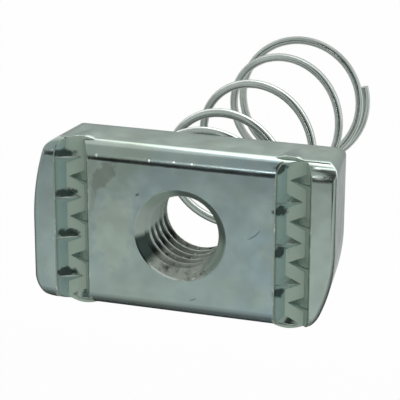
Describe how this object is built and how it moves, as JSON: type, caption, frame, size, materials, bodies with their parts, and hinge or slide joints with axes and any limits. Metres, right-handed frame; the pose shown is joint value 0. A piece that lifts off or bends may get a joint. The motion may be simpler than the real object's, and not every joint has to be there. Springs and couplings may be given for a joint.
{
  "type": "strut channel spring nut",
  "caption": "Rectangular spring nut for strut channel: threaded steel nut with two toothed lip grooves and a coil spring staked to its back.",
  "frame": {"origin": "on the thread axis, at the bottom of the spring's foot, where the part stands", "axes": "+Z is the thread axis and points out of the toothed clamping face; X is along the nut's length; Y is across it, along the grooves"},
  "size_m": [0.0362, 0.0206, 0.0583],
  "materials": {
    "nut_plating": "bright zinc plate with a clear blue-green passivation",
    "spring_wire": "zinc plated drawn wire"
  },
  "bodies": {
    "root": {"nut_body": "nut_plating", "spring": "spring_wire"}
  },
  "joints": []
}
